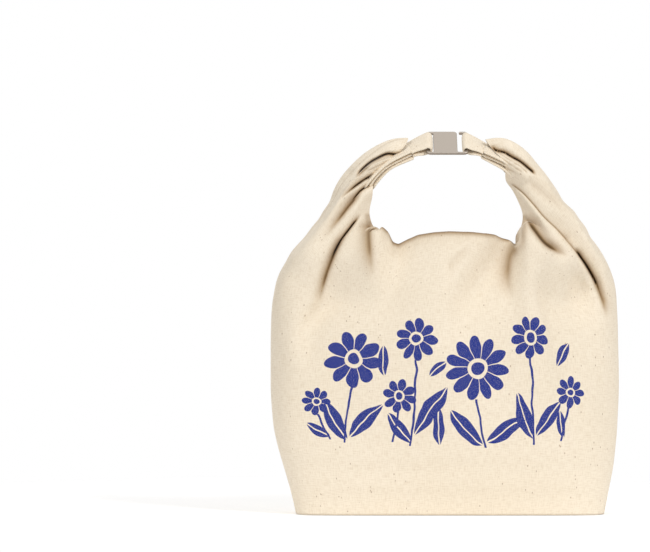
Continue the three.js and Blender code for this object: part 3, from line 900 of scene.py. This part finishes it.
cream = Graph(bpy.data.materials.new("canvas_cream"))
uv = cream.node("ShaderNodeUVMap", 0, {"uv_map": "cloth"})
u = cream.node("ShaderNodeSeparateXYZ", "X", Vector=uv)
v = cream.node("ShaderNodeSeparateXYZ", "Y", Vector=uv)
wander = cream.node("ShaderNodeTexNoise", "Fac", Vector=uv, Scale=120, Detail=2) * 3
pitch = 2 * math.pi / THREAD
over = (u * pitch + wander).sin() * (v * pitch + wander).sin() * 0.5 + 0.5
weft = cream.node("ShaderNodeTexNoise", "Fac", Scale=1, Detail=2,
                  Vector=cream.stretched(uv, (YARN_FINE, YARN_LONG, 1)))
warp = cream.node("ShaderNodeTexNoise", "Fac", Scale=1, Detail=2,
                  Vector=cream.stretched(uv, (YARN_LONG, YARN_FINE, 1)))
yarn = (weft + warp) * 0.5
cloud = cream.node("ShaderNodeTexNoise", "Fac", Vector=uv, Scale=14, Detail=3)
speck = cream.node("ShaderNodeTexVoronoi", "Distance", Scale=1,
                   Vector=cream.stretched(uv, (260, 150, 1)))
seed = cream.node("ShaderNodeMapRange", Value=speck, From_Min=0.05, From_Max=0.14,
                  To_Min=1.0, To_Max=0.0)
rare = cream.node("ShaderNodeTexNoise", "Fac", Vector=uv, Scale=60, Detail=0) > 0.53
shade = cream.mix(cloud, linear(243, 230, 208), linear(250, 239, 221))
shade = cream.mix((yarn - 0.44).clamped(2.9), shade, linear(223, 206, 180))
# The hollows between the threads are painted darker, as shade.
painted_weave_shade = over.math("MULTIPLY_ADD", -0.12, 0.12, clamp=True)
shade = cream.mix(painted_weave_shade, shade, linear(214, 192, 158))
shade = cream.mix(seed * rare * 0.65, shade, linear(150, 112, 72))
# The seams' valleys are painted a little darker, as shade, and are also sunk in the bump below.
from_seam = abs(abs(u) - HALF * MM).min(abs(v)).min(abs(v + 1))
seam = cream.fade(from_seam, 0.0, 0.0014)
shade = cream.mix(seam * 0.2, shade, linear(176, 150, 112))

# The print is one screen of blue ink low on the front: daisies on curved stems among
# broad leaves, with the threads' hollows left bare.
STEM_WIDE, VEIN_WIDE = 1.5, 0.9
WOBBLE = 0.004         # how unsteady the cut of the screen is, in metres
wobble = cream.node("ShaderNodeTexNoise", "Color", Vector=uv, Scale=70, Detail=1)
drawn = cream.node("ShaderNodeVectorMath", 0, {"operation": "MULTIPLY_ADD"},
                   i0=wobble, i1=(WOBBLE, WOBBLE, 0), i2=uv)
drawn_x = cream.node("ShaderNodeSeparateXYZ", "X", Vector=drawn) * 1000 - WOBBLE * 500
drawn_z = cream.node("ShaderNodeSeparateXYZ", "Y", Vector=drawn) * 1000 - WOBBLE * 500


def daisy(x, z, radius, petals, turn):
    """A flower with a ring of petals round an eye. Places and sizes are in millimetres."""
    across, up = drawn_x - x, drawn_z - z
    away = (across * across + up * up).math("SQRT") / radius
    lobe = abs((up.math("ARCTAN2", across) * (petals / 2) + turn).cos())
    petal = (away < lobe.power(0.55) * 0.5 + 0.5) * (away > 0.32) * (lobe > 0.13)
    return petal.max(away < 0.2)


def leaf(x, z, angle, length, wide):
    """A bent leaf with a bare vein. It starts at x and z and points along the angle."""
    run, rise = math.cos(math.radians(angle)), math.sin(math.radians(angle))
    across, up = drawn_x - x, drawn_z - z
    share = (across * run + up * rise) / length
    aside = across * -rise + up * run + (share * share) * (0.12 * length)
    half = (share * (1 - share)).max(0).power(0.8) * (wide * 1.8)
    return (abs(aside) < half) * (abs(aside) > VEIN_WIDE / 2)


def stem(x, foot, top, lean, bend):
    up = drawn_z - foot
    line = abs(drawn_x - x - up * lean - up * up * bend) < STEM_WIDE / 2
    return line * (drawn_z > foot) * (drawn_z < top)


DAISIES = [(20, 104, 23, 11, 0.3), (-68, 110, 20, 9, 0.8), (-24, 124, 15, 9, 0.1),
           (59, 125, 15, 9, 1.1), (89, 86, 11, 8, 0.5), (-93, 80, 10, 8, 0.2),
           (-35, 84, 12, 8, 0.9)]
STEMS = [(-74, 52, 92, 0.1, 0.001), (-27, 50, 110, 0.1, -0.0008), (26, 48, 82, -0.2, 0),
         (60, 50, 111, -0.02, 0), (80, 52, 76, 0.3, 0), (-84, 54, 71, -0.45, 0),
         (-40, 52, 73, 0.2, 0)]
LEAVES = [(-72, 54, 128, 30, 9), (-70, 56, 50, 32, 9), (-26, 52, 138, 26, 8),
          (-24, 58, 62, 40, 10), (24, 50, 140, 34, 10), (27, 52, 38, 32, 9),
          (60, 54, 116, 34, 9), (62, 56, 58, 30, 9), (82, 54, 100, 20, 6),
          (-84, 56, 158, 18, 6), (-14, 98, 50, 16, 6), (-46, 98, 100, 22, 7),
          (80, 104, 60, 20, 7), (-6, 50, 100, 26, 7)]
sprays = [daisy(*each) for each in DAISIES]
sprays += [stem(*each) for each in STEMS]
sprays += [leaf(*each) for each in LEAVES]
ink = sprays[0]
for spray in sprays[1:]:
    ink = ink.max(spray)
ink = ink * (over > 0.03)
shade = cream.mix(ink, shade, cream.mix(yarn, linear(34, 48, 126), linear(50, 64, 146)))

# Painted shade deep in the folds: the colour turns brown, and then nearly black.
fold = cream.node("ShaderNodeAttribute", "Fac", {"attribute_name": "fold"})
shade = cream.mix(fold.clamped(1.5), shade, linear(158, 124, 78))
shade = cream.mix((fold - 0.48).clamped(2.8), shade, linear(24, 12, 4))
relief = over * 0.6 + yarn * 0.8 - seam * 4
bump = cream.node("ShaderNodeBump", Height=relief, Strength=0.35, Distance=0.0003)
cream.set("Principled BSDF", Base_Color=shade, Roughness=0.92, Specular_IOR_Level=0.25,
          Normal=bump, Sheen_Weight=0.15, Sheen_Roughness=0.5)
canvas.data.materials.clear()
canvas.data.materials.append(cream.owner)
canvas.data.polygons.foreach_set("use_smooth", [True] * len(canvas.data.polygons))
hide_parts("front_panel", "back_panel", "base_panel",
            "left_shoulder", "right_shoulder", "left_arm", "right_arm")
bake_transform(canvas)

# The rolled top: the band and the cloth's top edge folded over on themselves into a flat
# roll, which stands upright in the cleft and turns on its side to run up each arm.
LAYERS = 3
LAYER_THICK = 2.3
LAYER_GAP = 0.25
LAYER_STEP = 0.7       # how much narrower each layer is than the one under it


def strip_outline(wide, thick):
    """The section of a strip of doubled cloth: flat, with rounded edges."""
    turn = np.linspace(0, 2 * math.pi, 20, endpoint=False)
    across = fuller(np.cos(turn), 0.35) * wide / 2
    up = fuller(np.sin(turn), 0.8) * thick / 2
    return np.stack([across, up], 1)


def swept(name, runs):
    """One object of strips. Each is a list of sections, with its cloth along and round it."""
    vertices, faces, uv = [], [], []
    for number, sections in enumerate(runs):
        sections = np.array(sections)
        rows, count = sections.shape[:2]
        first = sum(len(v) for v in vertices)
        vertices.append(sections.reshape(-1, 3))
        middle = sections.mean(1)
        far = np.append(0, np.cumsum(np.linalg.norm(np.diff(middle, axis=0), axis=1)))
        ring = np.vstack([sections[rows // 2], sections[rows // 2][:1]])
        round_it = np.append(0, np.cumsum(np.linalg.norm(np.diff(ring, axis=0), axis=1)))
        faces += [[first + corner for corner in face] for face in tube_faces(rows, count)]
        uv += [(far[a] * MM, round_it[b] * MM + number - 5)
               for i in range(rows - 1) for j in range(count)
               for a, b in ((i, j), (i, j + 1), (i + 1, j + 1), (i + 1, j))]
        for row, order in ((0, range(count - 1, -1, -1)), (rows - 1, range(count))):
            faces.append([first + row * count + j for j in order])
            uv += [(far[row] * MM + 0.3, round_it[j] * MM) for j in order]
    made = new_object(name, np.vstack(vertices) * MM, faces)
    made.data.uv_layers.new(name="cloth").data.foreach_set("uv", np.array(uv).ravel())
    return made


# Each layer leans and puffs a little by itself, and is narrow where the arm's cloth covers
# it.
layers = []
for layer in range(LAYERS):
    sections = []
    for share in np.linspace(-1, 1, 161):
        centre, width, face = roll_frame(abs(share), 1 if share >= 0 else -1)
        end = min(1, (1 - abs(share)) / 0.01 + 0.35)
        covered = smooth(0.34, 0.4, abs(share)) * (1 - smooth(0.68, 0.74, abs(share)))
        wide = (ROLL_WIDE - LAYER_STEP * layer) * (1 - 0.45 * covered)
        outline = strip_outline(wide, LAYER_THICK) * end
        lean = 0.9 * math.sin(7 * share + 2.1 * layer) - 0.5 * layer
        puff = 0.35 * math.sin(23 * share + 4 * layer) * np.cos(outline[:, :1] / 4)
        up = (layer - (LAYERS - 1) / 2) * (LAYER_THICK + LAYER_GAP)
        across = (outline[:, :1] + lean) * width
        sections.append(centre + across + (outline[:, 1:] + up + puff) * face)
    layers.append(sections)
roll = swept("rolled_canvas", layers)
roll.data.materials.append(cream.owner)
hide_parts("rolled_top", "left_rolled_end", "right_rolled_end")
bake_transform(roll)

# The two sewn tabs: the roll's ends go through the clasp's slots, round the bar or the
# hook and back, and are stitched down.
CLASP_LEVEL, CLASP_TILT = 264.0, math.radians(35)
BAR_OUT = 13.95        # how far the bar and the hook are from the middle
BAR_HALF = 1.4
PLY = {-1: 2.5, 1: 2.0}       # the hook's tab is pressed flatter
PLY_GAP = 0.5
TAB_LONG = 15.5


def tab_frame(share, side):
    """From the bar, where share is 0, to the roll's end, where it is 1."""
    centre, width, face = roll_frame(1.0, side)
    bar = np.array([BAR_OUT * side, 0, CLASP_LEVEL])
    sine, cosine = math.sin(CLASP_TILT), math.cos(CLASP_TILT)
    blend = share * share * (3 - 2 * share)
    across = np.array([0, cosine, sine]) * (1 - blend) + width * blend
    up = np.array([0, -sine, cosine]) * (1 - blend) + face * blend
    across /= np.linalg.norm(across)
    up -= across * np.dot(up, across)
    up /= np.linalg.norm(up)
    return bar * (1 - share) + centre * share, across, up


def tab(name, side):
    """A hairpin of doubled band, its fold round the bar and its plies meeting at the roll."""
    ply = PLY[side]
    radius = BAR_HALF + ply / 2
    upper = [(share, radius * (1 - share) + (ply + PLY_GAP) / 2 * share, 0)
             for share in np.linspace(1.12, 0.08, 12)]
    fold = [(0, radius * -math.sin(turn), radius * math.cos(turn))
            for turn in np.linspace(-math.pi / 2, math.pi / 2, 9)]
    lower = [(share, -up, 0) for share, up, _ in reversed(upper)]
    hairpin = upper + fold + lower
    inward = np.array([-side, 0, 0])
    sections = []
    for i, (share, up, past) in enumerate(hairpin):
        centre, across, lift = tab_frame(share, side)
        before, after = hairpin[max(i - 1, 0)], hairpin[min(i + 1, len(hairpin) - 1)]
        step = np.array([(before[0] - after[0]) * TAB_LONG + after[2] - before[2],
                         after[1] - before[1]])
        step /= np.linalg.norm(step)
        outline = strip_outline(ROLL_WIDE - 1.0 + 0.8 * share, ply)
        level = centre + up * lift + past * inward
        outward = -step[1] * inward + step[0] * lift
        sections.append(level + outline[:, :1] * across + outline[:, 1:] * outward)
    return swept(name, [sections])


clasp_tab = tab("clasp_tab", -1)
hook_tab = tab("hook_tab", 1)
for piece in (clasp_tab, hook_tab):
    piece.data.materials.append(cream.owner)
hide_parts("clasp_loop")
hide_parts("hook_loop")
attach(clasp_tab, "handle")
near_roll, near_hook = tab_frame(0.95, 1)[0], tab_frame(0.15, 1)[0]
tuple(near_roll * MM)
tuple(near_hook * MM)
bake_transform(hook_tab)

# The clasp: one stamping of satin steel, with its own shape from the model.
steel = Graph(bpy.data.materials.new("satin_steel"))
steel.set("Principled BSDF", Base_Color=linear(160, 151, 141), Metallic=1.0, Roughness=0.45)
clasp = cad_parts["clasp"]
clasp.data.materials.clear()
clasp.data.materials.append(steel.owner)
